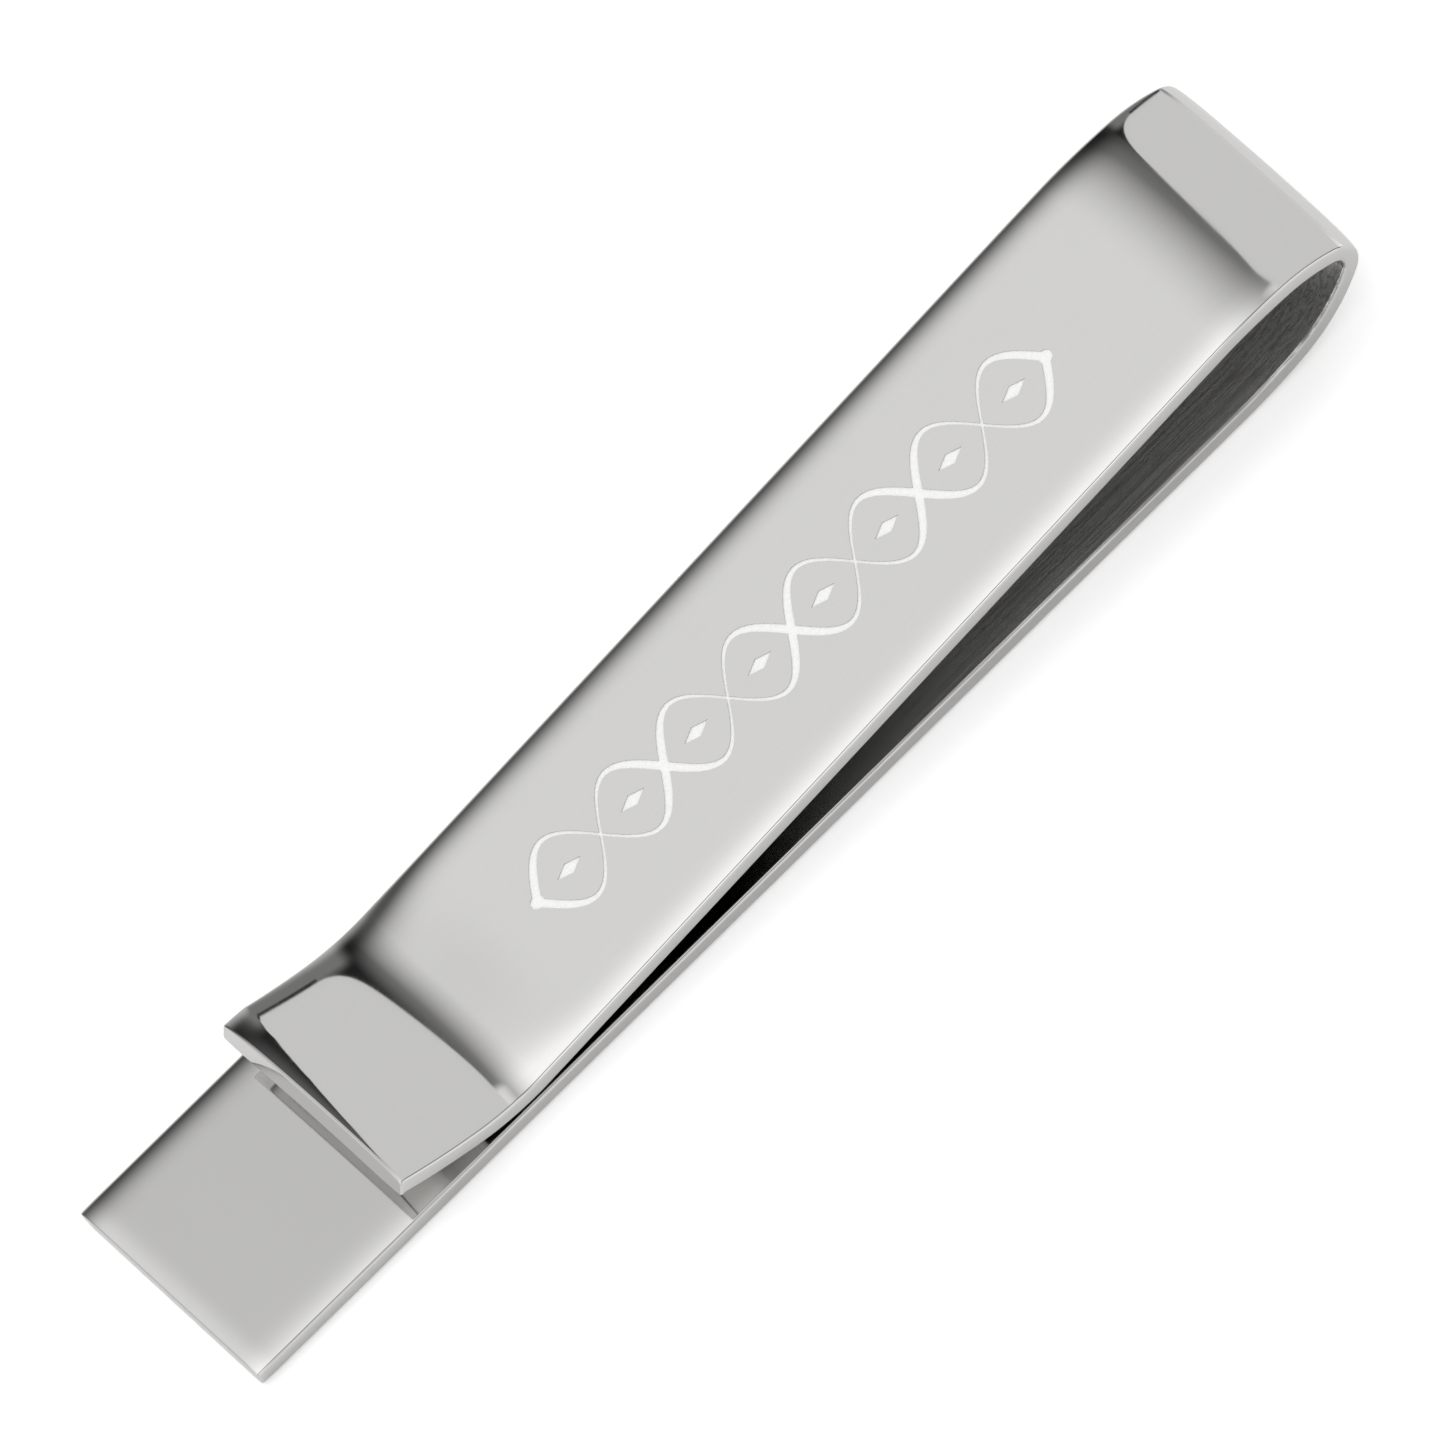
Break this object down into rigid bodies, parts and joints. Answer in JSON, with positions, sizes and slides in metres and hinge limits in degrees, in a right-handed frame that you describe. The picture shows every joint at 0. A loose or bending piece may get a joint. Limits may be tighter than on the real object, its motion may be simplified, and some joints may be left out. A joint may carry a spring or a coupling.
{
  "type": "tie bar",
  "caption": "Slide-on tie bar folded from a strip of polished spring steel, with a teardrop bow, a raised lead-in lip and an engraved ornamental band.",
  "frame": {"origin": "middle of the clip's rest face: the underside of the rear leaf, at the middle of the overall length and width", "axes": "+X along the strip towards the bow, +Y across the strip, +Z from the rear leaf towards the front leaf"},
  "size_m": [0.0508, 0.0092, 0.0044],
  "materials": {
    "polished_steel": "mirror-polished stainless spring steel with softly rolled edges and faint handling marks",
    "bow_steel": "stainless spring steel, polished on the outside of the bow, with a fine drawn grain left on the inside",
    "frosted_cut": "white frosted floor of a shallow engraved cut"
  },
  "bodies": {
    "rear": {"rear_leaf": "polished_steel", "rear_sweep": "polished_steel", "rear_shoulder": "bow_steel", "rear_nose": "bow_steel"},
    "front": {"front_nose": "bow_steel", "front_shoulder": "bow_steel", "front_sweep": "polished_steel", "front_leaf": "polished_steel", "lip_bend": "polished_steel", "lip": "polished_steel", "engraving": "frosted_cut"}
  },
  "joints": [
    {"name": "clip_opening", "type": "hinge", "parent": "rear", "child": "front", "pos_m": [0.0254, 0, 0.00272], "axis": [0, 1, 0], "range_deg": [0, 7.5], "stiffness_Nm_per_rad": 3.1}
  ]
}
